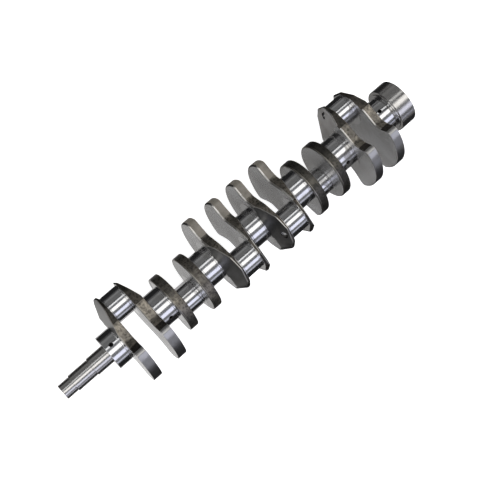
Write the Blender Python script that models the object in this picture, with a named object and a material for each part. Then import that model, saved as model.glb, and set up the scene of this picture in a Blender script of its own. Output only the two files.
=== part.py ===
"""Forged steel crankshaft of an in-line six-cylinder diesel engine.

The shaft is one forging, so it is divided where its named regions meet: the front snout,
seven main journals, six crankpins, twelve webs and the rear flange. The oil gallery plugs,
the two shaft keys and the flange dowel are separate pieces pressed into it.

Frame: +X runs along the spin axis towards the rear flange and +Z is up. The origin is on the
spin axis, in the middle of the floor of the rear flange's pilot recess. The shaft lies on the
floor in its stable roll, on four round webs and on the corners of four counterweights.
"""
import math

import bmesh
import bpy
from mathutils import Matrix, Vector

MM = 0.001
GAP = 0.3 * MM                 # air left between two neighbouring solids

# Stations along the spin axis
PITCH = 125.0 * MM             # cylinder spacing
MAIN_HALF = 19.5 * MM          # main bearing centre to the web's main-side face
PIN_HALF = 21.8 * MM           # crankpin centre to the web's pin-side face
BOSS_HEIGHT = 1.2 * MM         # machined ring standing proud of a web face
FRONT_SHOULDER = 15.0 * MM     # main 1 centre to its plain front face
REAR_NECK = 25.0 * MM          # main 7 centre to the rear flange
FLANGE_LENGTH = 41.0 * MM
PILOT_DEPTH = 12.0 * MM
SNOUT_STEPS = ((40.0 * MM, 21.0 * MM), (48.0 * MM, 19.2 * MM), (27.0 * MM, 17.0 * MM))

# Radii
MAIN_RADIUS = 40.0 * MM
PIN_RADIUS = 32.0 * MM
THROW = 62.5 * MM              # half of the 125 mm stroke
FLANGE_RADIUS = 52.5 * MM
PILOT_RADIUS = 23.5 * MM
MAIN_BOSS_RADIUS = 53.0 * MM
PIN_BOSS_RADIUS = 44.0 * MM
UNDERCUT = 0.7 * MM            # depth of the rolled fillet groove at a journal's end
UNDERCUT_WIDTH = 1.8 * MM
COLLAR = 1.2 * MM              # narrow land between that groove and the web

# Crank angles, in degrees about +X, from +Y towards +Z
FIRST_PIN_ANGLE = 6.2
THROW_ANGLES = [FIRST_PIN_ANGLE + turn for turn in (0, -120, 120, 120, -120, 0)]

# Web outline, in the web's own plane: u towards its crankpin, v a quarter turn further
EDGE_CHAMFER = 1.3 * MM
BOSS_INSET = 2.0 * MM
WEIGHT_RADIUS = 102.5 * MM
WEIGHT_OFFSET = 150.0          # middle of the counterweight, from the crankpin
WEIGHT_HALF_ARC = 48.0
ROUND_CENTRE = 25.5 * MM       # webs with no counterweight are ovals round this point
ROUND_LENGTH = 72.5 * MM
ROUND_WIDTH = 67.5 * MM
WEIGHTED = {1: 1, 2: 1, 5: -1, 6: -1, 7: -1, 8: -1, 11: 1, 12: 1}   # web: side of the weight

# Reliefs that thin the nose on the web's main side: direction from u, start, slope
NOSE_RELIEF = (18.0, 42.0 * MM, 16.0)
CORNER_RELIEF = (-45.0, 72.0 * MM, 38.0)
LONG_RELIEF = (-10.0, 44.0 * MM, 18.0)
LONG_CORNER = (-50.0, 68.5 * MM, 45.0)
ROUND_RELIEF = (0.0, 70.0 * MM, 30.0)
LONG_RELIEF_WEBS = (2, 11, 12)
BALANCE_WEB = 11               # web with a blind balance hole drilled in its nose
BALANCE_HOLE = (87.0 * MM, 9.0 * MM, 3.4 * MM, 24.0 * MM)   # u, v, radius, depth from the face

# Oil ways
OIL_RADIUS = 3.2 * MM
OIL_MOUTH = 5.2 * MM
MAIN_OIL_LEAD = 67.0           # cross hole of a main, from the crankpin it feeds
PIN_OIL_LEADS = (12.0, 12.0, 38.0, 38.0, 12.0, 12.0)
GALLERY_ANGLE = 41.0           # oblique gallery, from the spin axis
PLUG_RADIUS = 6.8 * MM
PLUG_LENGTH = 2.5 * MM
PLUG_FLOOR = 118.5 * MM        # main bearing centre to the plug's seat, along the gallery

# Rear flange and snout fittings
BOLT_COUNT = 8
BOLT_CIRCLE = 39.0 * MM
BOLT_RADIUS = 6.0 * MM
BOLT_DEPTH = 24.0 * MM
DOWEL_RADIUS = 5.0 * MM
DOWEL_LENGTH = 22.0 * MM
DOWEL_DEPTH = 12.0 * MM
DOWEL_ANGLE = 270.0
NOSE_HOLE_RADIUS = 7.6 * MM
NOSE_HOLE_DEPTH = 44.0 * MM
KEY_WIDTH = 6.0 * MM
KEY_RADIUS = 11.0 * MM
KEY_PROUD = 3.0 * MM
KEY_ANGLE = 270.0              # both keyways face the floor

# Fineness of round shapes
JOURNAL_SEGMENTS = 30
BOSS_SEGMENTS = 24
HOLE_SEGMENTS = 10

REAR_FACE = PILOT_DEPTH
MAIN_7 = REAR_FACE - FLANGE_LENGTH - REAR_NECK


def main_x(number):
    return MAIN_7 - (7 - number) * PITCH


def pin_x(number):
    return main_x(number) + PITCH / 2


def polar(radius, degrees):
    """Point at that radius and angle, as a pair."""
    turn = math.radians(degrees)
    return radius * math.cos(turn), radius * math.sin(turn)


def radial(x, radius, degrees):
    """World point at x, at that radius and angle about the spin axis."""
    return Vector((x, *polar(radius, degrees)))


def steel(name, colour, roughness):
    material = bpy.data.materials.new(name)
    material.use_nodes = True
    shader = material.node_tree.nodes["Principled BSDF"]
    shader.inputs["Base Color"].default_value = (*colour, 1.0)
    shader.inputs["Roughness"].default_value = roughness
    shader.inputs["Metallic"].default_value = 1.0
    return material


def finish_object(name, mesh, material, smooth=True):
    """Link a mesh as one sub-part, smooth but with its corners kept sharp."""
    part = bpy.data.objects.new(name, mesh)
    bpy.context.scene.collection.objects.link(part)
    if material:
        mesh.materials.append(material)
    else:
        part.hide_render = True
        part.display_type = 'WIRE'
    if smooth:
        mesh.shade_smooth()
        mesh.set_sharp_from_angle(angle=math.radians(32))
    return part


def mesh_from(name, build):
    mesh = bpy.data.meshes.new(name)
    form = bmesh.new()
    build(form)
    bmesh.ops.recalc_face_normals(form, faces=form.faces)
    form.to_mesh(mesh)
    form.free()
    return mesh


def stack(form, rings):
    """Join rings of equal length into a closed solid, with a flat cap at each end."""
    loops = [[form.verts.new(point) for point in ring] for ring in rings]
    count = len(loops[0])
    for lower, upper in zip(loops, loops[1:]):
        for i in range(count):
            j = (i + 1) % count
            form.faces.new((lower[i], lower[j], upper[j], upper[i]))
    form.faces.new(loops[0][::-1])
    form.faces.new(loops[-1])


def turned(name, profile, material, at=(0, 0, 0), along=(1, 0, 0), segments=JOURNAL_SEGMENTS):
    """Solid of revolution; profile holds (distance along the axis, radius) pairs."""
    def build(form):
        stack(form, [[(x, *polar(r, 360 * i / segments)) for i in range(segments)]
                     for x, r in profile])
        turn = Vector((1, 0, 0)).rotation_difference(Vector(along)).to_matrix().to_4x4()
        form.transform(Matrix.Translation(at) @ turn)
    return finish_object(name, mesh_from(name, build), material)


def combine(part, operation, *tools):
    for tool in tools:
        step = part.modifiers.new(tool.name, 'BOOLEAN')
        step.operation = operation
        step.solver = 'EXACT'
        step.object = tool


# --- outlines ---------------------------------------------------------------

def rounded(corners, steps=3):
    """Closed outline through (u, v, radius) corners, each rounded by an arc."""
    outline = []
    count = len(corners)
    for i, (u, v, radius) in enumerate(corners):
        here = Vector((u, v))
        before = Vector(corners[i - 1][:2]) - here
        after = Vector(corners[(i + 1) % count][:2]) - here
        if radius == 0:
            outline.append(here)
            continue
        half = before.angle(after) / 2
        reach = min(radius / math.tan(half), before.length * 0.48, after.length * 0.48)
        radius = reach * math.tan(half)
        centre = here + (before.normalized() + after.normalized()).normalized() * (
            radius / math.sin(half))
        start = here + before.normalized() * reach - centre
        sweep = start.angle_signed(here + after.normalized() * reach - centre)
        for k in range(steps + 1):
            turn = Matrix.Rotation(-sweep * k / steps, 2)
            outline.append(centre + turn @ start)
    return outline


def weighted_outline(side):
    """Nose round the crankpin, waist, and a counterweight turned towards v * side."""
    tip, nose, hip = 99.5 * MM, 80 * MM, 44 * MM
    corners = [
        (tip, -19 * MM, 13 * MM), (tip, 19 * MM, 13 * MM),
        (nose, 47 * MM, 14 * MM), (hip, 62 * MM, 22 * MM), (8 * MM, 61 * MM, 20 * MM),
        (-31 * MM, 36 * MM, 10 * MM), (-46 * MM, 25 * MM, 9 * MM), (-60 * MM, 25 * MM, 8 * MM)]
    arc_points = 11
    start = 360 - WEIGHT_OFFSET - WEIGHT_HALF_ARC
    for i in range(arc_points):
        angle = start + 2 * WEIGHT_HALF_ARC * i / (arc_points - 1)
        end = i in (0, arc_points - 1)
        corners.append((*polar(WEIGHT_RADIUS, angle), 14 * MM if end else 0))
    corners += [
        (-8 * MM, -79 * MM, 8 * MM), (4 * MM, -66 * MM, 12 * MM), (hip, -62 * MM, 22 * MM),
        (nose, -47 * MM, 14 * MM)]
    if side > 0:
        corners = [(u, -v, radius) for u, v, radius in reversed(corners)]
    return rounded(corners)


def round_outline(count=40):
    return [Vector((ROUND_CENTRE + ROUND_LENGTH * math.cos(2 * math.pi * i / count),
                    ROUND_WIDTH * math.sin(2 * math.pi * i / count))) for i in range(count)]


def inset(outline, distance):
    """Outline moved inwards; it runs anticlockwise."""
    moved = []
    for i, here in enumerate(outline):
        along = (outline[(i + 1) % len(outline)] - outline[i - 1]).normalized()
        moved.append(here + Vector((-along.y, along.x)) * distance)
    return moved


def reach_inside(outline, centre, direction):
    """Distance from centre to the outline in that direction."""
    best = math.inf
    for i, a in enumerate(outline):
        side = outline[(i + 1) % len(outline)] - a
        cross = direction.x * side.y - direction.y * side.x
        if abs(cross) < 1e-12:
            continue
        gap = a - centre
        distance = (gap.x * side.y - gap.y * side.x) / cross
        share = (gap.x * direction.y - gap.y * direction.x) / cross
        if distance > 0 and -1e-9 <= share <= 1 + 1e-9:
            best = min(best, distance)
    return best


def boss_outline(outline, centre, radius):
    """Circle round centre, cut back where it would overhang the web."""
    limit = inset(outline, BOSS_INSET)
    points = []
    for i in range(BOSS_SEGMENTS):
        direction = Vector(polar(1, 360 * i / BOSS_SEGMENTS))
        points.append(centre + direction * min(radius, reach_inside(limit, centre, direction)))
    return points


# --- webs -------------------------------------------------------------------

def web_frame(number):
    """(x of the main-side face, x of the pin-side face, throw angle) of a web."""
    throw = (number + 1) // 2
    if number % 2:
        return main_x(throw) + MAIN_HALF, pin_x(throw) - PIN_HALF, THROW_ANGLES[throw - 1]
    return main_x(throw + 1) - MAIN_HALF, pin_x(throw) + PIN_HALF, THROW_ANGLES[throw - 1]


def placed(points, x, degrees):
    turn = Matrix.Rotation(math.radians(degrees), 2)
    turned_points = [turn @ point for point in points]
    return [(x, point.x, point.y) for point in turned_points]


def slab(name, outline, x_low, x_high, degrees, material, chamfer=0.0):
    """Plate with that outline between two x stations, its rim edges chamfered."""
    def build(form):
        rings = [placed(outline, x_low + chamfer, degrees),
                 placed(outline, x_high - chamfer, degrees)]
        if chamfer:
            small = inset(outline, chamfer)
            rings = [placed(small, x_low, degrees), *rings, placed(small, x_high, degrees)]
        stack(form, rings)
    return finish_object(name, mesh_from(name, build), material)


def relief_tool(name, x_face, inwards, throw_angle, relief):
    """Wedge whose sloping face thins the web outwards from a start distance."""
    angle, start, slope = relief
    back, ahead, out, half = 20 * MM, 90 * MM, 40 * MM, 130 * MM
    drop = math.tan(math.radians(slope))
    section = [(start - back, x_face - inwards * back * drop),
               (start + ahead, x_face + inwards * ahead * drop),
               (start + ahead, x_face - inwards * out), (start - back, x_face - inwards * out)]
    outward = Vector(polar(1, throw_angle + angle))
    sideways = Vector((-outward.y, outward.x))

    def build(form):
        rings = []
        for side in (-half, half):
            flat = [(x, outward * distance + sideways * side) for distance, x in section]
            rings.append([(x, point.x, point.y) for x, point in flat])
        stack(form, rings)
    return finish_object(name, mesh_from(name, build), None, smooth=False)


def make_web(number, material):
    x_main, x_pin, angle = web_frame(number)
    side = WEIGHTED.get(number, 0)
    outline = weighted_outline(side) if side else round_outline()
    low, high = sorted((x_main, x_pin))
    inwards = 1 if x_pin > x_main else -1
    name = f"web_{number:02d}"
    web = slab(name, outline, low, high, angle, material, EDGE_CHAMFER)

    middle = (low + high) / 2
    for label, face, sign, centre, radius in (
            ("main", x_main, -inwards, Vector((0, 0)), MAIN_BOSS_RADIUS),
            ("pin", x_pin, inwards, Vector((THROW, 0)), PIN_BOSS_RADIUS)):
        top = face + sign * (BOSS_HEIGHT - GAP)
        boss = slab(f"{name}_{label}_boss", boss_outline(outline, centre, radius),
                    *sorted((middle, top)), angle, None)
        combine(web, 'UNION', boss)

    if not side:
        reliefs = [ROUND_RELIEF]
    else:
        reliefs = [LONG_RELIEF, LONG_CORNER] if number in LONG_RELIEF_WEBS else [NOSE_RELIEF, CORNER_RELIEF]
        reliefs = [(turn * side, start, slope) for turn, start, slope in reliefs]
    for i, relief in enumerate(reliefs):
        combine(web, 'DIFFERENCE',
                relief_tool(f"{name}_relief_{i + 1}", x_main, inwards, angle, relief))
    if number == BALANCE_WEB:
        u, v, radius, depth = BALANCE_HOLE
        at = (0, *(Matrix.Rotation(math.radians(angle), 2) @ Vector((u, v))))
        ends = sorted((x_main - inwards * 10 * MM, x_main + inwards * depth))
        combine(web, 'DIFFERENCE', turned("balance_hole", [(x, radius) for x in ends], None,
                                          at=at, segments=HOLE_SEGMENTS))
    return web


# --- journals, snout and flange ---------------------------------------------

def journal_end(x_end, sign, radius):
    """Profile from a journal's end face to its ground surface; sign points inwards."""
    land = x_end + sign * COLLAR
    floor = land + sign * UNDERCUT_WIDTH / 2
    ground = land + sign * UNDERCUT_WIDTH
    return [(x_end, radius), (land, radius), (floor, radius - UNDERCUT), (ground, radius)]


def make_main(number, material):
    centre = main_x(number)
    half = MAIN_HALF - BOSS_HEIGHT
    low = centre - (FRONT_SHOULDER if number == 1 else half)
    high = centre + (REAR_NECK - GAP if number == 7 else half)
    if number == 1:
        front = [(low, MAIN_RADIUS - 1 * MM), (low + 1 * MM, MAIN_RADIUS)]
    else:
        front = journal_end(low, 1, MAIN_RADIUS)
    rear = journal_end(high, -1, MAIN_RADIUS)
    if number == 7:
        seat = centre + half
        rear = [(high, MAIN_RADIUS - 2 * MM), (seat + 2 * MM, MAIN_RADIUS - 2 * MM),
                (seat, MAIN_RADIUS)]
    return turned(f"main_journal_{number}", front + rear[::-1], material)


def make_pin(number, material):
    half = PIN_HALF - BOSS_HEIGHT
    centre = radial(pin_x(number), THROW, THROW_ANGLES[number - 1])
    profile = journal_end(-half, 1, PIN_RADIUS) + journal_end(half, -1, PIN_RADIUS)[::-1]
    return turned(f"crankpin_{number}", profile, material, at=centre)


def make_snout(material):
    """Front snout: gear seat, damper seat and pulley nose, stepping down forwards."""
    back = main_x(1) - FRONT_SHOULDER - GAP
    profile, x = [], back
    edge = 1 * MM
    for length, radius in SNOUT_STEPS:
        profile += [(x, radius), (x - length + edge, radius), (x - length, radius - edge)]
        x -= length
    snout = turned("front_snout", profile[::-1], material)
    depth = NOSE_HOLE_DEPTH
    mouth = NOSE_HOLE_RADIUS + 2 * MM
    bore = turned("nose_hole", [
        (x - 5 * MM, mouth), (x, mouth), (x + 2 * MM, NOSE_HOLE_RADIUS),
        (x + depth, NOSE_HOLE_RADIUS), (x + depth + 4 * MM, 1 * MM)], None, segments=20)
    combine(snout, 'DIFFERENCE', bore)
    return snout


def make_key(name, x, seat_radius, material, snout):
    """Half-moon key standing out of a milled pocket in the snout."""
    def half_moon(width, grow, top):
        points = [(x + (KEY_RADIUS + grow) * math.cos(math.pi * i / 12),
                   top - (KEY_RADIUS + grow) * math.sin(math.pi * i / 12)) for i in range(13)]
        spin = Matrix.Rotation(math.radians(KEY_ANGLE), 3, 'X')

        def build(form):
            stack(form, [[spin @ Vector((px, distance, side)) for px, distance in points]
                         for side in (-width / 2, width / 2)])
        return build
    crown = seat_radius + KEY_PROUD
    pocket = half_moon(KEY_WIDTH + 2 * GAP, GAP, crown + GAP)
    combine(snout, 'DIFFERENCE',
            finish_object(name + "_pocket", mesh_from(name + "_pocket", pocket), None))
    return finish_object(name, mesh_from(name, half_moon(KEY_WIDTH, 0.0, crown)), material)


def make_flange(material):
    front = REAR_FACE - FLANGE_LENGTH
    edge = 1.5 * MM
    flange = turned("rear_flange", [
        (front, FLANGE_RADIUS - edge), (front + edge, FLANGE_RADIUS),
        (REAR_FACE - edge, FLANGE_RADIUS), (REAR_FACE, FLANGE_RADIUS - edge)],
        material, segments=48)
    lip = 1.5 * MM
    pilot = turned("pilot_recess", [
        (0, PILOT_RADIUS), (REAR_FACE - lip, PILOT_RADIUS), (REAR_FACE, PILOT_RADIUS + lip),
        (REAR_FACE + 5 * MM, PILOT_RADIUS + lip)], None)
    combine(flange, 'DIFFERENCE', pilot)
    for i in range(BOLT_COUNT):
        at = radial(REAR_FACE, BOLT_CIRCLE, 360 * (i + 0.5) / BOLT_COUNT)
        hole = turned(f"flange_bolt_hole_{i + 1}", [
            (-BOLT_DEPTH - 3 * MM, 1 * MM), (-BOLT_DEPTH, BOLT_RADIUS), (-1 * MM, BOLT_RADIUS),
            (0, BOLT_RADIUS + 1 * MM), (5 * MM, BOLT_RADIUS + 1 * MM)],
            None, at=at, segments=HOLE_SEGMENTS)
        combine(flange, 'DIFFERENCE', hole)
    seat = radial(REAR_FACE, BOLT_CIRCLE, DOWEL_ANGLE)
    dowel_hole = turned("dowel_hole", [(-DOWEL_DEPTH - GAP, DOWEL_RADIUS + GAP),
                                       (5 * MM, DOWEL_RADIUS + GAP)],
                        None, at=seat, segments=16)
    combine(flange, 'DIFFERENCE', dowel_hole)
    return flange


def make_dowel(material):
    seat = radial(REAR_FACE, BOLT_CIRCLE, DOWEL_ANGLE)
    tip = DOWEL_LENGTH - DOWEL_DEPTH
    edge = 1 * MM
    return turned("flange_dowel", [
        (-DOWEL_DEPTH, DOWEL_RADIUS), (tip - edge, DOWEL_RADIUS), (tip, DOWEL_RADIUS - edge)],
        material, at=seat, segments=16)


# --- oil ways ---------------------------------------------------------------

def gallery(throw):
    """(start point at the feeding main's centre, unit direction) of a throw's gallery."""
    feeder = throw if throw <= 3 else throw + 1
    ahead = 1 if throw <= 3 else -1
    run, rise = polar(1, GALLERY_ANGLE)
    direction = radial(0, rise, THROW_ANGLES[throw - 1])
    direction.x = run * ahead
    return feeder, Vector((main_x(feeder), 0, 0)), direction


def cross_hole(name, centre, degrees, radius, both_ends):
    """Drill a journal radially, with a countersunk mouth at its surface."""
    sink = OIL_MOUTH - OIL_RADIUS
    mouth = [(radius - sink, OIL_RADIUS), (radius, OIL_MOUTH), (radius + 4 * MM, OIL_MOUTH)]
    other = [(-x, r) for x, r in reversed(mouth)] if both_ends else [(-4 * MM, OIL_RADIUS)]
    return turned(name, other + mouth, None, at=centre, along=radial(0, 1, degrees),
                  segments=HOLE_SEGMENTS)


def drill_oil_ways(parts):
    for throw in range(1, 7):
        feeder, start, direction = gallery(throw)
        angle = THROW_ANGLES[throw - 1]
        combine(parts[f"main_journal_{feeder}"], 'DIFFERENCE', cross_hole(
            f"main_oil_{feeder}", start, angle + MAIN_OIL_LEAD, MAIN_RADIUS, True))
        combine(parts[f"crankpin_{throw}"], 'DIFFERENCE', cross_hole(
            f"pin_oil_{throw}", radial(pin_x(throw), THROW, angle),
            angle + PIN_OIL_LEADS[throw - 1], PIN_RADIUS, False))
        bore = turned(f"gallery_{throw}", [(0, OIL_RADIUS), (PLUG_FLOOR + 2 * MM, OIL_RADIUS)],
                      None, at=start, along=direction, segments=HOLE_SEGMENTS)
        seat = turned(f"plug_seat_{throw}", [
            (PLUG_FLOOR, PLUG_RADIUS + GAP), (PLUG_FLOOR + 30 * MM, PLUG_RADIUS + GAP)],
            None, at=start, along=direction, segments=HOLE_SEGMENTS)
        near, far = 2 * throw - 1, 2 * throw
        if throw > 3:
            near, far = far, near
        for name in (f"main_journal_{feeder}", f"web_{near:02d}", f"crankpin_{throw}",
                     f"web_{far:02d}"):
            combine(parts[name], 'DIFFERENCE', bore)
        combine(parts[f"web_{far:02d}"], 'DIFFERENCE', seat)


def make_plug(throw, material):
    """Short plug closing the drilled end of a throw's oil gallery."""
    _, start, direction = gallery(throw)
    return turned(f"gallery_plug_{throw}", [
        (PLUG_FLOOR + GAP, PLUG_RADIUS), (PLUG_FLOOR + GAP + PLUG_LENGTH, PLUG_RADIUS)],
        material, at=start, along=direction, segments=HOLE_SEGMENTS)


def build():
    for old in list(bpy.data.objects):
        bpy.data.objects.remove(old)

    ground = steel("ground_journal_steel", (0.62, 0.62, 0.64), 0.16)
    webbing = steel("machined_web_steel", (0.36, 0.35, 0.34), 0.42)
    turned_steel = steel("turned_end_steel", (0.55, 0.55, 0.56), 0.24)
    hard = steel("plug_and_key_steel", (0.20, 0.20, 0.21), 0.38)

    parts = {}
    for number in range(1, 8):
        parts[f"main_journal_{number}"] = make_main(number, ground)
    for number in range(1, 7):
        parts[f"crankpin_{number}"] = make_pin(number, ground)
    for number in range(1, 13):
        parts[f"web_{number:02d}"] = make_web(number, webbing)
    drill_oil_ways(parts)

    snout = make_snout(turned_steel)
    front = main_x(1) - FRONT_SHOULDER
    gear, damper = SNOUT_STEPS[0], SNOUT_STEPS[1]
    make_key("timing_gear_key", front - gear[0] / 2, gear[1], hard, snout)
    make_key("damper_key", front - gear[0] - damper[0] / 2, damper[1], hard, snout)
    make_flange(turned_steel)
    make_dowel(hard)
    for throw in range(1, 7):
        make_plug(throw, hard)


build()
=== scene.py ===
import math

import bmesh
import bpy
from mathutils import Matrix, Vector


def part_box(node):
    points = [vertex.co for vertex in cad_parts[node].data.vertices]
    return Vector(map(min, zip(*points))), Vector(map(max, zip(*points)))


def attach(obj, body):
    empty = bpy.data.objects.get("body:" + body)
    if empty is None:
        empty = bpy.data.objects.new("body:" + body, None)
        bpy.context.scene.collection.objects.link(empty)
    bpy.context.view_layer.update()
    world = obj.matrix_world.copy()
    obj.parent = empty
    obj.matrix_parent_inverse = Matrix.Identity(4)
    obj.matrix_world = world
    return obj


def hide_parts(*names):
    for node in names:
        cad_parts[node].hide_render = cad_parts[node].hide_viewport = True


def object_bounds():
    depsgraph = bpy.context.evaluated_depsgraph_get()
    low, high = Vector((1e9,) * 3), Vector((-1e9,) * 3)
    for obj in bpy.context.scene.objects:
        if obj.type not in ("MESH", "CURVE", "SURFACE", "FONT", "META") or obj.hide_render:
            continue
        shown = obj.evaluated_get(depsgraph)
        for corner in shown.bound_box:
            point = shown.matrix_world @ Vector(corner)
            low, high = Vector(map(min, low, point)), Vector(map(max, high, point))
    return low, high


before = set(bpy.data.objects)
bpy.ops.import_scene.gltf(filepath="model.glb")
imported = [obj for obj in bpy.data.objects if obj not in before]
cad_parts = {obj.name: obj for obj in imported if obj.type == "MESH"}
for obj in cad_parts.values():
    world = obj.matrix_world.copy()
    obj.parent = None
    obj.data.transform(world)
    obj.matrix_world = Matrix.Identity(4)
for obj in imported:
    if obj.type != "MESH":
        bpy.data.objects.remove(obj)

MM = 0.001
X_AXIS = Vector((1, 0, 0))
cad_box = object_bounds()


# --- places, read from the frame ----------------------------------------------

def middle(node):
    low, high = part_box(node)
    return (low + high) / 2


MAIN_4 = middle("main_journal_4").x
PITCH = middle("main_journal_5").x - MAIN_4
FLOOR = cad_box[0].z


def main_x(number):
    return MAIN_4 + (number - 4) * PITCH


def pin_centre(number):
    return middle(f"crankpin_{number}")


def throw_angle(number):
    """Degrees about +X of a crankpin, from +Y towards +Z."""
    centre = pin_centre(number)
    return math.degrees(math.atan2(centre.z, centre.y))


THROW = math.hypot(pin_centre(1).y, pin_centre(1).z)

# Sizes of the forging that its boxes don't give
MAIN_RADIUS = 40 * MM
PIN_RADIUS = 32 * MM
MAIN_HALF = 19.5 * MM          # half the space between two webs at a main journal
PIN_HALF = 21.8 * MM           # and at a crankpin
BOSS_HEIGHT = 1.2 * MM         # thrust faces, raised from the webs round each journal
BOSS_MARGIN = 2.4 * MM         # and kept this far inside the webs' outlines
MAIN_BOSS_RADIUS = 53 * MM
PIN_BOSS_RADIUS = 44 * MM
WEIGHT_RADIUS = 102.1 * MM
WEIGHT_OFFSET = 150.0          # degrees from a crankpin to the middle of its counterweights
WEIGHT_HALF_ARC = 48.0

# Webs with a counterweight, and the side to which it leans away from the crankpin's plane
WEIGHTED = {1: 1, 2: 1, 5: -1, 6: -1, 7: -1, 8: -1, 11: 1, 12: 1}
BRUSHED_WEBS = (5, 6, 7, 8)    # counterweights brushed by hand, with softly rounded edges

# Plain webs: an ellipse's middle, out from the axis, and its two half axes
ROUND_CENTRE, ROUND_LENGTH, ROUND_WIDTH = 25.5 * MM, 72.25 * MM, 67.25 * MM

# Milled reliefs: degrees from the crankpin, distance from the axis where they start, slope
NOSE_RELIEF = (18.0, 42 * MM, 16.0)
CORNER_RELIEF = (-45.0, 72 * MM, 38.0)
LONG_RELIEF = (-10.0, 44 * MM, 18.0)
LONG_CORNER = (-50.0, 68.5 * MM, 45.0)
ROUND_RELIEF = (0.0, 70 * MM, 30.0)
LONG_RELIEF_WEBS = (2, 11, 12)

BALANCE_WEB = 11
BALANCE_HOLE = (87 * MM, 9 * MM, 3.4 * MM, 24 * MM)     # out from the axis, aside, radius, depth
OIL_RADIUS = 3.2 * MM
MAIN_OIL_LEAD = 67.0           # degrees from a crankpin to its main's oil hole
PIN_OIL_LEADS = (12.0, 12.0, 38.0, 38.0, 12.0, 12.0)
BOLTS, BOLT_CIRCLE = 8, 39 * MM
KEYS = ("timing_gear_key", "damper_key")
OVERLAP = 0.4 * MM             # neighbouring regions of the one forging meet, with no air

# Radius of a web's rim edges: crisp where it is turned, softer where it is forged or brushed
TURNED_EDGE, FORGED_EDGE, BRUSHED_EDGE = 1.0 * MM, 2.8 * MM, 3.4 * MM
EDGE_STEPS = 4


# --- mesh building ------------------------------------------------------------

def polar(radius, degrees):
    turn = math.radians(degrees)
    return radius * math.cos(turn), radius * math.sin(turn)


def new_object(name, mesh, *materials):
    part = bpy.data.objects.new(name, mesh)
    bpy.context.scene.collection.objects.link(part)
    for material in materials:
        mesh.materials.append(material)
    return part


def stack(form, rings, slots=None):
    """Join rings of equal length into a closed solid; slots(level, i) gives a side's material."""
    loops = [[form.verts.new(point) for point in points] for points in rings]
    count = len(loops[0])
    for level, (lower, upper) in enumerate(zip(loops, loops[1:])):
        for i in range(count):
            j = (i + 1) % count
            face = form.faces.new((lower[i], lower[j], upper[j], upper[i]))
            if slots:
                face.material_index = slots(level, i)
    form.faces.new(loops[0][::-1])
    form.faces.new(loops[-1])


def solid(name, rings, *materials, slots=None, transform=None):
    form = bmesh.new()
    stack(form, rings, slots)
    if transform is not None:
        form.transform(transform)
    bmesh.ops.recalc_face_normals(form, faces=form.faces)
    mesh = bpy.data.meshes.new(name)
    form.to_mesh(mesh)
    form.free()
    return new_object(name, mesh, *materials)


def lathe(name, profile, material, at=(0, 0, 0), along=X_AXIS, segments=96):
    """Solid of revolution; profile holds (distance along the axis, radius) pairs."""
    rings = [[(x, *polar(r, 360 * i / segments)) for i in range(segments)] for x, r in profile]
    turn = X_AXIS.rotation_difference(Vector(along)).to_matrix().to_4x4()
    return solid(name, rings, material, transform=Matrix.Translation(at) @ turn)


def combine(part, operation, tools):
    """Boolean with each tool; the cut faces take the tool's own material."""
    for tool in tools:
        step = part.modifiers.new(tool.name, 'BOOLEAN')
        step.operation = operation
        step.solver = 'EXACT'
        step.material_mode = 'TRANSFER'
        step.object = tool
    evaluated = part.evaluated_get(bpy.context.evaluated_depsgraph_get())
    mesh = bpy.data.meshes.new_from_object(evaluated)
    part.modifiers.clear()
    part.data = mesh
    for tool in tools:
        bpy.data.objects.remove(tool)


def smooth(part, degrees=33):
    part.data.shade_smooth()
    part.data.set_sharp_from_angle(angle=math.radians(degrees))
    weights = part.modifiers.new("flat_faces_stay_flat", 'WEIGHTED_NORMAL')
    weights.keep_sharp = True


def piece(part, node):
    """Stand a finished part in for its CAD node."""
    part.name = part.data.name = f"{node}_steel"
    smooth(part)
    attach(part, "root")
    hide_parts(node)


# --- materials ----------------------------------------------------------------

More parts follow.
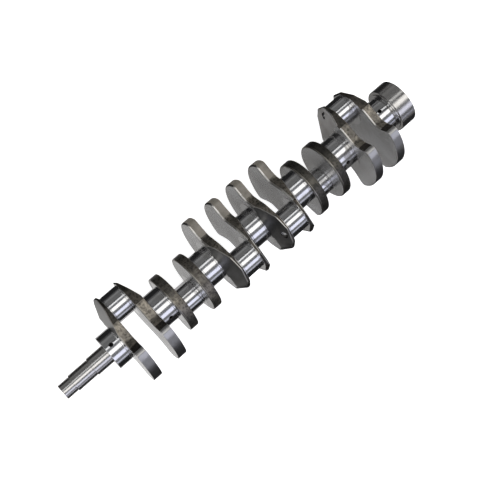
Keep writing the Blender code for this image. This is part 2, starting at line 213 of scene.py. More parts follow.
class Paint:
    """A Principled material with short calls for the nodes used here."""

    def __init__(self, name, colour, roughness, metallic):
        self.material = bpy.data.materials.new(name)
        self.material.use_nodes = True
        self.tree = self.material.node_tree
        self.shader = self.tree.nodes["Principled BSDF"]
        self.shader.inputs["Base Color"].default_value = (*colour, 1)
        self.shader.inputs["Roughness"].default_value = roughness
        self.shader.inputs["Metallic"].default_value = metallic
        self.place = self.tree.nodes.new("ShaderNodeTexCoord").outputs["Object"]

    def node(self, kind, inputs, output, **settings):
        node = self.tree.nodes.new(kind)
        for name, value in settings.items():
            setattr(node, name, value)
        for key, value in inputs.items():
            if isinstance(value, bpy.types.NodeSocket):
                self.tree.links.new(value, node.inputs[key])
            else:
                node.inputs[key].default_value = value
        return node.outputs[output]

    def scaled(self, scale):
        return self.node("ShaderNodeMapping", {"Vector": self.place, "Scale": scale}, "Vector")

    def noise(self, vector, scale, detail=3.0, roughness=0.55):
        return self.node("ShaderNodeTexNoise", {
            "Vector": vector, "Scale": scale, "Detail": detail, "Roughness": roughness}, "Fac")

    def ramp(self, value, low, high, start=0.0, end=1.0):
        return self.node("ShaderNodeMapRange", {
            "Value": value, "From Min": start, "From Max": end, "To Min": low, "To Max": high},
            "Result")

    def axis_distance(self):
        """Distance from the spin axis, which is the frame's X axis."""
        flat = self.node("ShaderNodeVectorMath", {0: self.place, 1: (0, 1, 1)}, "Vector",
                         operation='MULTIPLY')
        return self.node("ShaderNodeVectorMath", {0: flat}, "Value", operation='LENGTH')

    def lines(self, value, scale):
        """Noise that changes only with value."""
        along = self.node("ShaderNodeCombineXYZ", {"X": value}, "Vector")
        return self.noise(along, scale, 2.0, 0.6)

    def mix(self, factor, first, second):
        """Blend of two colours, each a plain colour or a socket."""
        node = self.tree.nodes.new("ShaderNodeMix")
        node.data_type = 'RGBA'
        for socket, value in ((node.inputs["Factor"], factor), (node.inputs[6], first),
                              (node.inputs[7], second)):
            if isinstance(value, bpy.types.NodeSocket):
                self.tree.links.new(value, socket)
            else:
                socket.default_value = (*value, 1)
        return node.outputs[2]

    def maths(self, operation, first, second):
        return self.node("ShaderNodeMath", {0: first, 1: second}, "Value", operation=operation)

    def add(self, first, second):
        return self.maths('ADD', first, second)

    def colour(self, socket):
        self.tree.links.new(socket, self.shader.inputs["Base Color"])

    def roughness(self, socket):
        self.tree.links.new(socket, self.shader.inputs["Roughness"])

    def bump(self, height, strength, distance):
        normal = self.node("ShaderNodeBump", {
            "Height": height, "Strength": strength, "Distance": distance}, "Normal")
        self.tree.links.new(normal, self.shader.inputs["Normal"])


def darker(colour, share):
    return tuple(share * channel for channel in colour)


def ground_steel(name, bright, dull, smoothest, roughest, metallic=1.0):
    """Steel ground or turned about the spin axis: fine lines round it, faint oil stains."""
    paint = Paint(name, bright, smoothest, metallic)
    marks = paint.noise(paint.scaled((1900, 6, 6)), 1.0)
    stains = paint.noise(paint.place, 34.0, 4.0)
    spots = paint.ramp(stains, 0.0, 0.7, start=0.52, end=0.72)
    grooves = paint.ramp(marks, 0.0, 0.25, start=0.45, end=0.8)
    paint.colour(paint.mix(paint.add(spots, grooves), bright, dull))
    paint.roughness(paint.add(paint.ramp(marks, smoothest, roughest),
                              paint.ramp(stains, -0.02, 0.05)))
    paint.bump(marks, 0.02, 0.04 * MM)
    return paint.material


def machined_face(name, bright, dull, smoothest, roughest, metallic):
    """Face milled or ground in arcs round the spin axis, with faint oxide clouds."""
    paint = Paint(name, bright, smoothest, metallic)
    arcs = paint.lines(paint.axis_distance(), 700.0)
    clouds = paint.noise(paint.place, 14.0, 5.0)
    grain = paint.noise(paint.place, 900.0, 2.0)
    base = paint.mix(paint.ramp(clouds, 0.0, 1.0, start=0.36, end=0.68), bright, dull)
    paint.colour(paint.mix(paint.ramp(arcs, 0.0, 0.35, start=0.4, end=0.8), base,
                           darker(dull, 0.7)))
    paint.roughness(paint.add(paint.ramp(arcs, smoothest, roughest),
                              paint.ramp(grain, -0.03, 0.03)))
    paint.bump(arcs, 0.05, 0.04 * MM)
    return paint.material


def forged_skin(name, light, dark, scale_colour):
    """As-forged skin, worn to a dull shine: two tones in clouds, specks of dark scale."""
    paint = Paint(name, light, 0.4, 0.9)
    clouds = paint.noise(paint.place, 26.0, 6.0, 0.6)
    scale = paint.noise(paint.place, 200.0, 5.0, 0.6)
    pits = paint.noise(paint.place, 900.0, 2.0)
    base = paint.mix(paint.ramp(clouds, 0.0, 1.0, start=0.36, end=0.66), dark, light)
    specks = paint.ramp(scale, 0.0, 0.85, start=0.44, end=0.66)
    paint.colour(paint.mix(specks, base, scale_colour))
    paint.roughness(paint.ramp(scale, 0.30, 0.52))
    paint.bump(paint.add(scale, paint.maths('MULTIPLY', pits, 0.3)), 0.30, 0.4 * MM)
    return paint.material


def milled_relief(name, bright, dull, metallic):
    """Facet milled on a nose: straight cutter marks."""
    paint = Paint(name, bright, 0.38, metallic)
    marks = paint.noise(paint.scaled((60, 60, 1400)), 1.0)
    clouds = paint.noise(paint.place, 30.0, 4.0)
    paint.colour(paint.mix(paint.ramp(clouds, 0.0, 1.0, start=0.35, end=0.7), bright, dull))
    paint.roughness(paint.ramp(marks, 0.30, 0.48))
    paint.bump(marks, 0.15, 0.06 * MM)
    return paint.material


def fitting_steel(name, colour, roughness):
    """Steel of the small fittings and of drilled holes: cloudy, a little rough."""
    paint = Paint(name, colour, roughness, 0.9)
    clouds = paint.noise(paint.place, 120.0, 4.0)
    paint.colour(paint.mix(clouds, colour, darker(colour, 0.55)))
    paint.roughness(paint.ramp(clouds, roughness - 0.08, roughness + 0.12))
    paint.bump(clouds, 0.15, 0.1 * MM)
    return paint.material


JOURNAL = ground_steel("ground_journal_steel", (0.66, 0.66, 0.67), (0.50, 0.49, 0.47),
                       0.09, 0.17)
TURNED = ground_steel("turned_end_steel", (0.56, 0.55, 0.54), (0.44, 0.425, 0.40), 0.18, 0.24)
RIM = ground_steel("turned_rim_steel", (0.43, 0.425, 0.42), (0.26, 0.25, 0.235), 0.26, 0.36)
BRUSHED_RIM = ground_steel("brushed_rim_steel", (0.275, 0.252, 0.216), (0.14, 0.127, 0.108),
                           0.46, 0.58, 0.40)
# Edge steel in two copies: the lighter is worn metal with a painted highlight, the darker a painted
# shade
WORN_LIT_EDGE = ground_steel("worn_edge_painted_highlight_steel", (0.60, 0.59, 0.57), (0.34, 0.31, 0.27), 0.22, 0.34)
SHADED_EDGE = ground_steel("painted_shade_edge_steel", (0.30, 0.285, 0.26), (0.16, 0.15, 0.135), 0.26, 0.38)
FACE = machined_face("web_machined_face", (0.57, 0.57, 0.57), (0.41, 0.40, 0.39),
                     0.20, 0.30, 0.72)
BOSS = machined_face("web_ground_boss", (0.66, 0.66, 0.66), (0.54, 0.53, 0.52),
                     0.06, 0.12, 0.95)
SKIN = forged_skin("web_forged_skin", (0.36, 0.325, 0.27), (0.15, 0.14, 0.125),
                   (0.05, 0.046, 0.04))
ROUND_SKIN = forged_skin("web_round_skin", (0.27, 0.245, 0.205), (0.13, 0.122, 0.11),
                         (0.05, 0.047, 0.043))
# Skin of round webs 9 and 10, a darker copy of the round webs' skin: painted shade
SHADED_ROUND_SKIN = forged_skin("web_round_painted_shade_skin", (0.115, 0.107, 0.092), (0.06, 0.058, 0.054),
                        (0.03, 0.029, 0.027))
# Nose rims in a dark copy of the forged skin: painted shade
NOSE_SHADE_SKIN = forged_skin("web_nose_painted_shade_skin", (0.13, 0.115, 0.095), (0.06, 0.056, 0.05),
                        (0.03, 0.028, 0.025))
# Necks, and the heels of unbrushed webs, in a darker copy still: painted shade
NECK_SHADE_SKIN = forged_skin("web_neck_painted_shade_skin", (0.10, 0.09, 0.08), (0.05, 0.046, 0.042),
                        (0.03, 0.027, 0.025))
# Nose and corner reliefs in a dark copy of the milled relief: painted shade; the long reliefs stay
# lighter
SHADED_RELIEF = milled_relief("web_milled_relief_painted_shade", (0.16, 0.158, 0.155), (0.10, 0.098, 0.095), 0.9)
LONG_FACET = milled_relief("web_milled_long_relief", (0.33, 0.325, 0.32), (0.24, 0.225, 0.215),
                           0.35)
PLUG = fitting_steel("pressed_plug_steel", (0.52, 0.52, 0.53), 0.2)
FITTING = fitting_steel("hardened_fitting_steel", (0.20, 0.20, 0.21), 0.32)
# Drilled holes, threads and key pockets in near-black steel: painted shade in the recesses
SHADED_BORE = fitting_steel("drilled_hole_painted_shade_steel", (0.07, 0.068, 0.065), 0.5)


# --- web outlines ---------------------------------------------------------------

# Finish of a rim face, as its slot among a web's materials; slot 0 is the flat faces. The neck and
# nose slots hold painted shade, the edge slot worn metal with a painted highlight or a painted shade
FORGED, TURNED_ARC, NECK, EDGE, NOSE = 1, 2, 3, 4, 5


def rounded(corners, steps=8):
    """Closed outline with (u, v, radius, finish) corners, and the finish after each point."""
    most = 0.48                 # of a side, for the arc at one of its ends
    outline, finishes = [], []
    count = len(corners)
    for i, (u, v, radius, finish) in enumerate(corners):
        here = Vector((u, v))
        if radius == 0:
            outline.append(here)
            finishes.append(finish)
            continue
        before = Vector(corners[i - 1][:2]) - here
        after = Vector(corners[(i + 1) % count][:2]) - here
        half = before.angle(after) / 2
        reach = min(radius / math.tan(half), before.length * most, after.length * most)
        radius = reach * math.tan(half)
        centre = here + (before.normalized() + after.normalized()).normalized() * (
            radius / math.sin(half))
        start = here + before.normalized() * reach - centre
        sweep = start.angle_signed(here + after.normalized() * reach - centre)
        for k in range(steps + 1):
            outline.append(centre + Matrix.Rotation(-sweep * k / steps, 2) @ start)
            finishes.append(finish)
    return outline, finishes


def weighted_outline(side, heel):
    """Nose round the crankpin, waist, and a counterweight turned towards v * side.

    Corners are in millimetres, u out from the axis towards the crankpin and v across it. The
    heel is the corner between the waist and the counterweight's arc.
    """
    tip, nose, hip = 99.5, 80, 44
    corners = [
        (tip, -19, 13, NOSE), (tip, 19, 13, NOSE), (nose, 47, 14, NOSE), (hip, 62, 22, NOSE),
        (8, 61, 20, NECK), (-31, 36, 10, NECK), (-46, 25, 9, NECK), (-60, 25, 8, NECK)]
    start = 360 - WEIGHT_OFFSET - WEIGHT_HALF_ARC
    last, room = 40, 3          # steps along the arc, and those left free for its end corners
    for i in range(last + 1):
        u, v = polar(WEIGHT_RADIUS / MM, start + 2 * WEIGHT_HALF_ARC * i / last)
        if i in (0, last):
            corners.append((u, v, 14, TURNED_ARC))
        elif room < i < last - room:
            corners.append((u, v, 0, TURNED_ARC))
    corners += [(-8, -79, 8, heel), (4, -66, 12, FORGED), (hip, -62, 22, FORGED),
                (nose, -47, 14, NOSE)]
    if side > 0:
        corners = [(u, -v, radius, finish) for u, v, radius, finish in reversed(corners)]
    return rounded([(u * MM, v * MM, radius * MM, finish) for u, v, radius, finish in corners])


def round_outline(count=120):
    points = [Vector((ROUND_CENTRE + ROUND_LENGTH * math.cos(2 * math.pi * i / count),
                      ROUND_WIDTH * math.sin(2 * math.pi * i / count))) for i in range(count)]
    return points, [FORGED] * count


def inset(outline, distances):
    """Outline moved inwards, each point by its own distance; it runs anticlockwise."""
    moved = []
    for i, here in enumerate(outline):
        along = (outline[(i + 1) % len(outline)] - outline[i - 1]).normalized()
        moved.append(here + Vector((-along.y, along.x)) * distances[i])
    return moved


def reach_inside(outline, centre, direction):
    """Distance from centre to the outline in that direction."""
    parallel, slack = 1e-12, 1e-9
    best = math.inf
    for i, a in enumerate(outline):
        side = outline[(i + 1) % len(outline)] - a
        cross = direction.x * side.y - direction.y * side.x
        if abs(cross) < parallel:
            continue
        gap = a - centre
        distance = (gap.x * side.y - gap.y * side.x) / cross
        share = (gap.x * direction.y - gap.y * direction.x) / cross
        if distance > 0 and -slack <= share <= 1 + slack:
            best = min(best, distance)
    return best


def placed(points, x, degrees):
    turn = Matrix.Rotation(math.radians(degrees), 2)
    return [(x, *(turn @ point)) for point in points]


def rim_profile():
    """(share of the edge radius inwards, share along the axis) round one rim edge."""
    for k in range(EDGE_STEPS + 1):
        turn = math.pi / 2 * k / EDGE_STEPS
        yield 1 - math.sin(turn), 1 - math.cos(turn)


def slab(name, outline, finishes, x_low, x_high, degrees, materials, brushed):
    """Plate with rounded rim edges; the forged and brushed ones towards the snout take the edge
    steel: worn metal with a painted highlight, or a painted shade.
    """
    if brushed:
        turned_edge = forged_edge = BRUSHED_EDGE
    else:
        turned_edge, forged_edge = TURNED_EDGE, FORGED_EDGE
    edges = [turned_edge if finish == TURNED_ARC else forged_edge for finish in finishes]
    rings = []
    for inwards, along in rim_profile():
        points = inset(outline, [edge * inwards for edge in edges])
        rings.append([(x_low + edge * along, y, z)
                      for edge, (_, y, z) in zip(edges, placed(points, 0, degrees))])
    far_rings = [[(x_low + x_high - x, y, z) for x, y, z in ring] for ring in reversed(rings)]

    def slot_of(level, i):
        takes_edge_steel = finishes[i] == FORGED or (brushed and finishes[i] == TURNED_ARC)
        return EDGE if takes_edge_steel and level < EDGE_STEPS else finishes[i]
    return solid(name, rings + far_rings, *materials, slots=slot_of)


# --- webs -----------------------------------------------------------------------

def relief_tool(name, x_face, inwards, throw, relief, material):
    """Wedge whose sloping face thins the web outwards from a start distance."""
    angle, start, slope = relief
    back, ahead, out, half = 20 * MM, 90 * MM, 40 * MM, 130 * MM     # well past the web
    drop = math.tan(math.radians(slope))
    section = [(start - back, x_face - inwards * back * drop),
               (start + ahead, x_face + inwards * ahead * drop),
               (start + ahead, x_face - inwards * out), (start - back, x_face - inwards * out)]
    outward = Vector(polar(1, throw + angle))
    sideways = Vector((-outward.y, outward.x))
    rings = [[(x, *(outward * distance + sideways * side)) for distance, x in section]
             for side in (-half, half)]
    return solid(name, rings, material)


def round_relief_edges(web, facet, edge, width=1.6 * MM):
    """Round the edges between a milled relief and the rim, in the edge steel: worn metal with a
    painted highlight, or a painted shade.
    """
    materials = list(web.data.materials)
    # worn is the slot of the edge steel: worn metal with a painted highlight, or a painted shade
    cut, worn = materials.index(facet), materials.index(edge)
    rim = {worn, materials.index(SKIN), materials.index(NOSE_SHADE_SKIN)}
    form = bmesh.new()
    form.from_mesh(web.data)
    edges = [e for e in form.edges if len(e.link_faces) == 2
             and cut in (found := {face.material_index for face in e.link_faces})
             and found & rim]
    bmesh.ops.bevel(form, geom=edges, offset=width, offset_type='OFFSET', segments=2, profile=0.5,
                    affect='EDGES', clamp_overlap=False, material=worn)
    form.to_mesh(web.data)
    form.free()


def gallery_end(node):
    """(middle of a throw's plug, direction of its gallery)."""
    throw = int(node[-1])
    feeder = throw if throw <= 3 else throw + 1
    centre = middle(node)
    return centre, (centre - Vector((main_x(feeder), 0, 0))).normalized()


def web_place(number):
    """(throw, x of the face on the main, x of the face on the pin, sense from main to pin)."""
    throw = (number + 1) // 2
    pin = pin_centre(throw).x
    if number % 2:
        return throw, main_x(throw) + MAIN_HALF, pin - PIN_HALF, 1
    return throw, main_x(throw + 1) - MAIN_HALF, pin + PIN_HALF, -1


def web_steels(number):
    """(forged skin, turned arc, edge, milled relief) of a web; the edge is worn metal with a painted
    highlight, or a painted shade.
    """
    arc = BRUSHED_RIM if number in BRUSHED_WEBS else RIM
    facet = LONG_FACET if number in LONG_RELIEF_WEBS else SHADED_RELIEF
    if number in WEIGHTED:
        # Webs 1 and 2 take the darker edge steel, a painted shade
        return SKIN, arc, WORN_LIT_EDGE if number > 2 else SHADED_EDGE, facet
    # Round webs 9 and 10 take the skin with painted shade, and all round webs the darker edge steel
    return ROUND_SKIN if number in (3, 4) else SHADED_ROUND_SKIN, arc, SHADED_EDGE, facet


def make_boss(name, outline, face, outwards, centre, radius, angle):
    """Raised thrust face round a journal, with a gentle step, cut off at the outline."""
    count = 96
    rays = [Vector(polar(1, 360 * i / count)) for i in range(count)]
    reach = [min(radius, reach_inside(outline, centre, ray)) for ray in rays]
    root, step_height, step_width = 4 * MM, 1.1 * MM, 3.5 * MM
    top = face + outwards * BOSS_HEIGHT
    levels = ((face - outwards * root, 0), (top - outwards * step_height, 0), (top, step_width))
    rings = [placed([centre + ray * (full - less) for ray, full in zip(rays, reach)], x, angle)
             for x, less in levels]
    return solid(name, rings, BOSS)


def relief_tools(number, x_main, inwards, angle, facet):
    if number not in WEIGHTED:
        reliefs = [ROUND_RELIEF]
    elif number in LONG_RELIEF_WEBS:
        reliefs = [LONG_RELIEF, LONG_CORNER]
    else:
        reliefs = [NOSE_RELIEF, CORNER_RELIEF]
    side = WEIGHTED.get(number, 0)
    return [relief_tool(f"web_{number:02d}_relief_{i + 1}", x_main, inwards, angle,
                        (turn * side, start, slope), facet)
            for i, (turn, start, slope) in enumerate(reliefs)]


def balance_drill(x_main, angle):
    out, aside, radius, depth = BALANCE_HOLE
    at = (0, *(Matrix.Rotation(math.radians(angle), 2) @ Vector((out, aside))))
    profile = [(x_main - 10 * MM, radius), (x_main + depth, radius),
               (x_main + depth + 2 * MM, 0.5 * MM)]
    return lathe("balance_hole", profile, SHADED_BORE, at=at, segments=32)


def plug_seat(throw):
    """Seat of a gallery's plug, with a wide mouth unless the balance hole lies beside it."""
    centre, along = gallery_end(f"gallery_plug_{throw}")
    seat = 7.0 * MM
    mouth = 7.1 * MM if throw == 6 else 9.4 * MM
    profile = [(-3 * MM, seat), (1.6 * MM, seat), (4 * MM, mouth), (30 * MM, mouth)]
    return lathe("plug_seat", profile, SHADED_BORE, at=centre, along=along, segments=40)


def make_web(number):
    throw, x_main, x_pin, inwards = web_place(number)
    name, angle = f"web_{number:02d}", throw_angle(throw)
    skin, arc, edge, facet = web_steels(number)
    side, brushed = WEIGHTED.get(number, 0), number in BRUSHED_WEBS
    # Heels of unbrushed webs take the necks' painted shade
    heel = TURNED_ARC if brushed else NECK
    outline, finishes = weighted_outline(side, heel) if side else round_outline()
    web = slab(name, outline, finishes, *sorted((x_main, x_pin)), angle,
               (FACE, skin, arc, NECK_SHADE_SKIN, edge, NOSE_SHADE_SKIN), brushed)

    inner = inset(outline, [BOSS_MARGIN] * len(outline))
    combine(web, 'UNION', [
        make_boss(f"{name}_main_boss", inner, x_main, -inwards, Vector((0, 0)), MAIN_BOSS_RADIUS,
                  angle),
        make_boss(f"{name}_pin_boss", inner, x_pin, inwards, Vector((THROW, 0)), PIN_BOSS_RADIUS,
                  angle)])

    tools = relief_tools(number, x_main, inwards, angle, facet)
    if number == BALANCE_WEB:
        tools.append(balance_drill(x_main, angle))
    inner_web = 2 * throw if throw <= 3 else 2 * throw - 1     # where the throw's gallery ends
    if number == inner_web:
        tools.append(plug_seat(throw))
    combine(web, 'DIFFERENCE', tools)
    if side:
        round_relief_edges(web, facet, edge)
    piece(web, name)


# --- journals ---------------------------------------------------------------------

def journal_end(x_end, sign, radius):
    """Profile inwards from a journal's end: land, rolled fillet groove, ground surface."""
    land, width, depth = 1.2 * MM, 1.8 * MM, 0.7 * MM
    steps = 6
    profile = [(x_end - sign * OVERLAP, radius), (x_end + sign * land, radius)]
    for k in range(1, steps):
        turn = math.pi * k / steps
        profile.append((x_end + sign * (land + width * (1 - math.cos(turn)) / 2),
                        radius - depth * math.sin(turn)))
    profile.append((x_end + sign * (land + width), radius))
    return profile


def with_steps(profile, longest=5 * MM):
    """Split a profile's long runs, so that a hole disturbs only the facets near it."""
    made = profile[:1]
    for (x0, r0), (x1, r1) in zip(profile, profile[1:]):
        count = max(1, math.ceil(abs(x1 - x0) / longest))
        made += [(x0 + (x1 - x0) * k / count, r0 + (r1 - r0) * k / count)
                 for k in range(1, count + 1)]
    return made


def oil_hole(name, centre, degrees, radius, both_ends):
    """Drill for a radial oil hole with a rounded mouth, or with one at both ends."""
    mouth = [(radius - 2.4 * MM, OIL_RADIUS), (radius - 1.2 * MM, 3.5 * MM),
             (radius - 0.4 * MM, 4.3 * MM), (radius + 0.2 * MM, 5.4 * MM), (radius + 4 * MM, 9 * MM)]
    other = [(-x, r) for x, r in reversed(mouth)] if both_ends else [(-4 * MM, OIL_RADIUS)]
    return lathe(name, other + mouth, SHADED_BORE, at=centre, along=(0, *polar(1, degrees)), segments=32)


def make_main(number):
    node = f"main_journal_{number}"
    low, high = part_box(node)
    centre, radius = main_x(number), MAIN_RADIUS
    if number == 1:
        front = [(low.x, radius - 1.2 * MM), (low.x + 0.4 * MM, radius - 0.4 * MM),
                 (low.x + 1.2 * MM, radius)]
    else:
        front = journal_end(low.x, 1, radius)
    if number == 7:
        seat = centre + MAIN_HALF - BOSS_HEIGHT
        neck = radius - 2 * MM
        rear = [(high.x + OVERLAP, neck + 1 * MM), (high.x - 1 * MM, neck), (seat + 2.6 * MM, neck),
                (seat + 1.6 * MM, neck + 0.6 * MM), (seat + 0.9 * MM, radius - 0.3 * MM),
                (seat, radius)]
    else:
        rear = journal_end(high.x, -1, radius)
    journal = lathe(node, with_steps(front + rear[::-1]), JOURNAL, segments=120)
    if number != 4:
        throw = number if number <= 3 else number - 1
        combine(journal, 'DIFFERENCE', [oil_hole(
            "main_oil", (centre, 0, 0), throw_angle(throw) + MAIN_OIL_LEAD, radius, True)])
    piece(journal, node)


def make_pin(number):
    node = f"crankpin_{number}"
    low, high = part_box(node)
    centre = pin_centre(number)
    profile = journal_end(low.x, 1, PIN_RADIUS) + journal_end(high.x, -1, PIN_RADIUS)[::-1]
    pin = lathe(node, with_steps(profile), JOURNAL, at=(0, centre.y, centre.z), segments=108)
    combine(pin, 'DIFFERENCE', [oil_hole(
        "pin_oil", centre, throw_angle(number) + PIN_OIL_LEADS[number - 1], PIN_RADIUS, False)])
    piece(pin, node)


# --- snout, flange and fittings ------------------------------------------------------

def snout_steps():
    """Profile of the snout from its root to its end, with a relief groove at each step."""
    low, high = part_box("front_snout")
    steps = ((40 * MM, 21 * MM), (48 * MM, 19.2 * MM), (27 * MM, 17 * MM))     # length, radius
    profile, x = [(high.x + OVERLAP, steps[0][1])], high.x
    for i, (length, radius) in enumerate(steps):
        last = i == len(steps) - 1
        edge = 1 * MM if last else 0.6 * MM
        if i:
            profile += [(x, radius - 0.5 * MM), (x - 1.6 * MM, radius - 0.5 * MM),
                        (x - 2.1 * MM, radius)]
        x = low.x if last else x - length
        profile += [(x + edge, radius), (x + edge * 0.3, radius - edge * 0.3), (x, radius - edge)]
    return profile


def nose_bolt_hole():
    """Profile of the nose bolt's threaded hole, from the snout's end inwards."""
    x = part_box("front_snout")[0].x
    radius, crest = 7.6 * MM, 6.9 * MM
    profile = [(x, radius + 2 * MM), (x + 2 * MM, radius)]
    for turn in range(18):
        start = x + (2.5 + 2 * turn) * MM
        profile += [(start, radius), (start + 1 * MM, crest)]
    return profile + [(x + 40 * MM, crest), (x + 44 * MM, radius - 1 * MM), (x + 48 * MM, 0.4 * MM)]


def make_snout():
    snout = lathe("front_snout", snout_steps() + nose_bolt_hole(), TURNED, segments=96)
    clearance = 0.25 * MM
    combine(snout, 'DIFFERENCE', [key_solid(node, clearance, SHADED_BORE) for node in KEYS])
    piece(snout, "front_snout")


def key_solid(node, grow, material, edge=0.0):
    """Half-moon key, standing down out of its pocket; grown, it cuts the pocket."""
    low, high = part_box(node)
    centre = (low + high) / 2
    radius, width = (high.x - low.x) / 2 + grow, (high.y - low.y) / 2 + grow
    levels = ((-width, 0), (width, 0))
    if edge:
        levels = ((-width, edge), (edge - width, 0), (width - edge, 0), (width, edge))
    steps = 20
    rings = [[(centre.x + (radius - less) * math.cos(math.pi * i / steps), centre.y + y,
               low.z + less - grow + (radius - less * 2) * math.sin(math.pi * i / steps))
              for i in range(steps + 1)] for y, less in levels]
    return solid(node + ("_pocket" if grow else ""), rings, material)


def bolt_hole(number):
    """Threaded hole in the flange's rear face, with a countersunk mouth."""
    root, crest, pitch = 6.1 * MM, 5.5 * MM, 1.6 * MM
    profile = [(-27 * MM, 0.6 * MM), (-24 * MM, 5.4 * MM)]
    for turn in range(13):
        profile += [(-23 * MM + turn * pitch, root), (-22.2 * MM + turn * pitch, crest)]
    profile += [(-1.2 * MM, 6.2 * MM), (0, 7.2 * MM), (3 * MM, 7.2 * MM)]
    at = (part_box("rear_flange")[1].x, *polar(BOLT_CIRCLE, 360 / BOLTS * (number - 0.5)))
    return lathe(f"bolt_hole_{number}", profile, SHADED_BORE, at=at, segments=32)


def dowel_hole():
    radius = 5.1 * MM
    profile = [(-12.5 * MM, radius), (-0.6 * MM, radius), (0, radius + 0.6 * MM),
               (3 * MM, radius + 0.6 * MM)]
    dowel = middle("flange_dowel")
    at = (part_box("rear_flange")[1].x, dowel.y, dowel.z)
    return lathe("dowel_hole", profile, SHADED_BORE, at=at, segments=40)


def make_flange():
    """Flywheel flange; its pilot recess has its floor at x = 0."""
    low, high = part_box("rear_flange")
    outer, pilot = 52.5 * MM, 23.5 * MM
    front, rear = low.x, high.x
    profile = [
        (front, 37 * MM), (front, 45.5 * MM), (front + 0.5 * MM, 46 * MM),
        (front + 1.4 * MM, 46.2 * MM), (front + 1.6 * MM, 51 * MM), (front + 2.0 * MM, 52 * MM),
        (front + 2.8 * MM, outer), (rear - 1.4 * MM, outer), (rear - 0.4 * MM, outer - 0.4 * MM),
        (rear, outer - 1.4 * MM), (rear, pilot + 1.4 * MM), (rear - 1.4 * MM, pilot),
        (1 * MM, pilot), (0.2 * MM, pilot - 0.6 * MM), (0, pilot - 1.6 * MM), (0, 4 * MM),
        (-1.5 * MM, 2.4 * MM), (-3.5 * MM, 0.3 * MM)]
    flange = lathe("rear_flange", profile, TURNED, segments=128)
    holes = [bolt_hole(number) for number in range(1, BOLTS + 1)]
    combine(flange, 'DIFFERENCE', holes + [dowel_hole()])
    piece(flange, "rear_flange")


def make_dowel():
    low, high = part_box("flange_dowel")
    centre = (low + high) / 2
    radius = 5 * MM
    profile = [(low.x, radius - 0.8 * MM), (low.x + 0.8 * MM, radius), (high.x - 1.5 * MM, radius),
               (high.x - 0.6 * MM, radius - 0.4 * MM), (high.x, radius - 1.3 * MM)]
    dowel = lathe("flange_dowel", profile, FITTING, at=(0, centre.y, centre.z), segments=48)
    piece(dowel, "flange_dowel")


def make_key(node):
    piece(key_solid(node, 0.0, FITTING, edge=0.5 * MM), node)


def make_plug(number):
    """Cup plug: a pressed disc with a turned-up rim."""
    node = f"gallery_plug_{number}"
    centre, along = gallery_end(node)
    outer = 6.9 * MM
    profile = [(-1.2 * MM, 0.3 * MM), (-1.2 * MM, outer - 1 * MM), (-0.8 * MM, outer - 0.2 * MM),
               (0, outer), (1.2 * MM, outer), (1.25 * MM, outer - 0.5 * MM),
               (1.1 * MM, outer - 0.9 * MM), (0.0, outer - 1.3 * MM), (-0.4 * MM, outer - 2 * MM),
               (-0.5 * MM, 0.3 * MM)]
    plug = lathe(node, profile, PLUG, at=centre, along=along, segments=40)
    piece(plug, node)


for index in range(1, 13):
    make_web(index)
for index in range(1, 8):
    make_main(index)
for index in range(1, 7):
    make_pin(index)
    make_plug(index)
make_snout()
make_flange()
make_dowel()
for key in KEYS:
    make_key(key)


# --- studio ----------------------------------------------------------------------------

SHAFT_MIDDLE = (cad_box[0] + cad_box[1]) / 2
WHITE, WARM = (1.0, 1.0, 0.99), (1.0, 0.985, 0.955)
LAVENDER, COOL = (0.82, 0.84, 1.0), (0.93, 0.95, 1.0)


def plain(name, colour, emission):
    """Matt paper that glows a little, so that it stays pale and even."""
    material = bpy.data.materials.new(name)
    material.use_nodes = True
    shader = material.node_tree.nodes["Principled BSDF"]
    shader.inputs["Base Color"].default_value = (*colour, 1)
    shader.inputs["Roughness"].default_value = 0.9
    shader.inputs["Specular IOR Level"].default_value = 0.0
    shader.inputs["Emission Color"].default_value = (*colour, 1)
    shader.inputs["Emission Strength"].default_value = emission
    return material


def hide_from(part, *rays):
    for ray in rays:
        setattr(part, f"visible_{ray}", False)


def floor_sheets(name, spans, material):
    """Flat sheets on the floor, one for each (low x, high x, half width)."""
    verts, faces = [], []
    for x0, x1, half in spans:
        first = len(verts)
        verts += [(x0, -half, FLOOR), (x1, -half, FLOOR), (x1, half, FLOOR), (x0, half, FLOOR)]
        faces.append(tuple(range(first, first + 4)))
    mesh = bpy.data.meshes.new(name)
    mesh.from_pydata(verts, [], faces)
    return new_object(name, mesh, material)


def pale_floor():
    """Wide pale floor, left out of reflections, so that the steel keeps its dark bands."""
    reach = 30.0
    paper = plain("pale_floor", (0.94, 0.94, 0.94), 0.88)
    sheet = floor_sheets("studio_floor", [
        (SHAFT_MIDDLE.x - reach, SHAFT_MIDDLE.x + reach, reach)], paper)
    hide_from(sheet, "glossy")
    return sheet


def pale_backdrop():
    """Round tub over the studio, seen only by the camera."""
    sides, levels = 48, ((28.0, -1.0), (28.0, 12.0), (20.0, 20.0), (6.0, 24.0))
    rings = [[(SHAFT_MIDDLE.x + radius * math.cos(2 * math.pi * i / sides),
               radius * math.sin(2 * math.pi * i / sides), z) for i in range(sides)]
             for radius, z in levels]
    tub = solid("studio_backdrop", rings, plain("pale_backdrop", (0.97, 0.97, 0.97), 1.0))
    hide_from(tub, "diffuse", "glossy", "transmission", "shadow", "volume_scatter")
    return tub


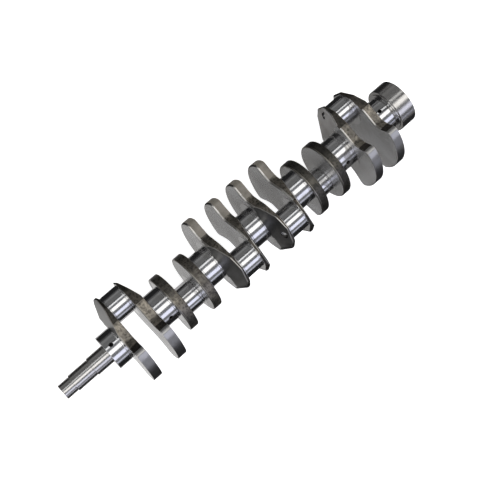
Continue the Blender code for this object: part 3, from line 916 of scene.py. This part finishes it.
def glow_paper():
    """White paper, seen only in reflections: a strip under the shaft, whose light fades to the
    rear, and a wide sheet past each end."""
    low, high = cad_box
    narrow, wide, start, end = 0.112, 2.5, 0.3, 3.0
    paint = Paint("pale_paper", (0.0, 0.0, 0.0), 1.0, 0.0)
    x = paint.node("ShaderNodeSeparateXYZ", {0: paint.place}, "X")
    nearness = paint.ramp(x, 1.0, 0.0, start=low.x + 0.15, end=high.x - 0.25)
    glow = paint.ramp(paint.maths('POWER', nearness, 2.0), 0.25, 0.80)
    paint.shader.inputs["Emission Color"].default_value = (1.0, 0.99, 0.98, 1)
    paint.tree.links.new(glow, paint.shader.inputs["Emission Strength"])
    paper = floor_sheets("studio_paper", [
        (low.x - 0.12, high.x + 0.12, narrow), (low.x - end, low.x - start, wide),
        (high.x + start, high.x + end, wide)], paint.material)
    hide_from(paper, "camera", "diffuse", "transmission", "shadow", "volume_scatter")
    return paper


def area_light(name, place, aim, length, width, radiance, colour):
    """Soft box at place facing aim, long along X, or along Y if it faces along X."""
    data = bpy.data.lights.new(name, 'AREA')
    data.shape = 'RECTANGLE'
    data.size, data.size_y = length, width
    data.energy = radiance * 4 * length * width
    data.color = colour
    light = bpy.data.objects.new(name, data)
    bpy.context.scene.collection.objects.link(light)
    back = (place - aim).normalized()
    side = X_AXIS if abs(back.x) < 0.7 else Vector((0, 1, 0))
    side = (side - back * side.dot(back)).normalized()
    light.matrix_world = Matrix.Translation(place) @ Matrix((
        side, back.cross(side), back)).transposed().to_4x4()
    light.visible_camera = False


def strip_light(name, degrees, half_width, radiance, colour, length=5.0, distance=2.6):
    """Long soft box parallel to the shaft, at that angle from overhead towards +Y."""
    turn = math.radians(degrees)
    aim = Vector((SHAFT_MIDDLE.x, 0, 0))
    place = aim + Vector((0, math.sin(turn), math.cos(turn))) * distance
    width = 2 * distance * math.tan(math.radians(half_width))
    area_light(name, place, aim, length, width, radiance, colour)


def end_card(name, x):
    """White card that stands past one end of the shaft and lights its end faces."""
    place, aim = Vector((x, 0.0, 0.55)), Vector((-0.4, 0, 0))
    area_light(name, place, aim, length=2.4, width=1.6, radiance=1.2, colour=WHITE)


def set_world(strength):
    world = bpy.data.worlds.new("studio")
    world.use_nodes = True
    background = world.node_tree.nodes["Background"]
    background.inputs["Color"].default_value = (0.95, 0.97, 1.0, 1)
    background.inputs["Strength"].default_value = strength
    bpy.context.scene.world = world


floor = pale_floor()
backdrop = pale_backdrop()
glow_paper()

strip_light("strip_far_side", 26.5, 4.2, 0.95, WHITE)
strip_light("strip_overhead", -5, 11.0, 1.25, WARM)
strip_light("strip_near_side", -47, 11.0, 1.0, LAVENDER)
strip_light("strip_low_near", -81, 5.5, 0.45, LAVENDER)
strip_light("wall_far_side", 60, 22.0, 0.12, WHITE)
strip_light("wall_far_low", 80, 14.0, 0.05, WHITE)
strip_light("ceiling", -28, 62.0, 0.16, COOL, distance=3.4)
end_card("card_front", -2.3)
end_card("card_rear", 1.5)
set_world(0.02)
bpy.context.scene.view_settings.view_transform = 'Standard'


# --- camera ------------------------------------------------------------------------------

def set_camera():
    """Look almost straight down at main 4, leaning towards the snout, with the shaft aslant."""
    lean, twist = math.radians(12.377), math.radians(41.07)
    roll = Matrix.Rotation(math.radians(-3.8), 3, 'X')
    along = roll @ Vector((math.cos(lean), 0, math.sin(lean)))
    across = roll @ Vector((0, -1, 0))
    forward = roll @ Vector((math.sin(lean), 0, -math.cos(lean)))
    right = along * math.cos(twist) + across * math.sin(twist)
    down = across * math.cos(twist) - along * math.sin(twist)
    back, aside, distance = 31.65, 2.56, 1925.04     # millimetres from main 4 to the camera
    place = Vector((MAIN_4, 0, 0)) - (along * back - across * aside + forward * distance) * MM

    data = bpy.data.cameras.new("camera")
    data.sensor_width = 36.0
    data.lens = 68.94
    data.clip_end = 100.0
    camera = bpy.data.objects.new("camera", data)
    bpy.context.scene.collection.objects.link(camera)
    camera.matrix_world = Matrix.Translation(place) @ Matrix(
        (right, -down, -forward)).transposed().to_4x4()
    bpy.context.scene.camera = camera


set_camera()
bpy.context.view_layer.update()
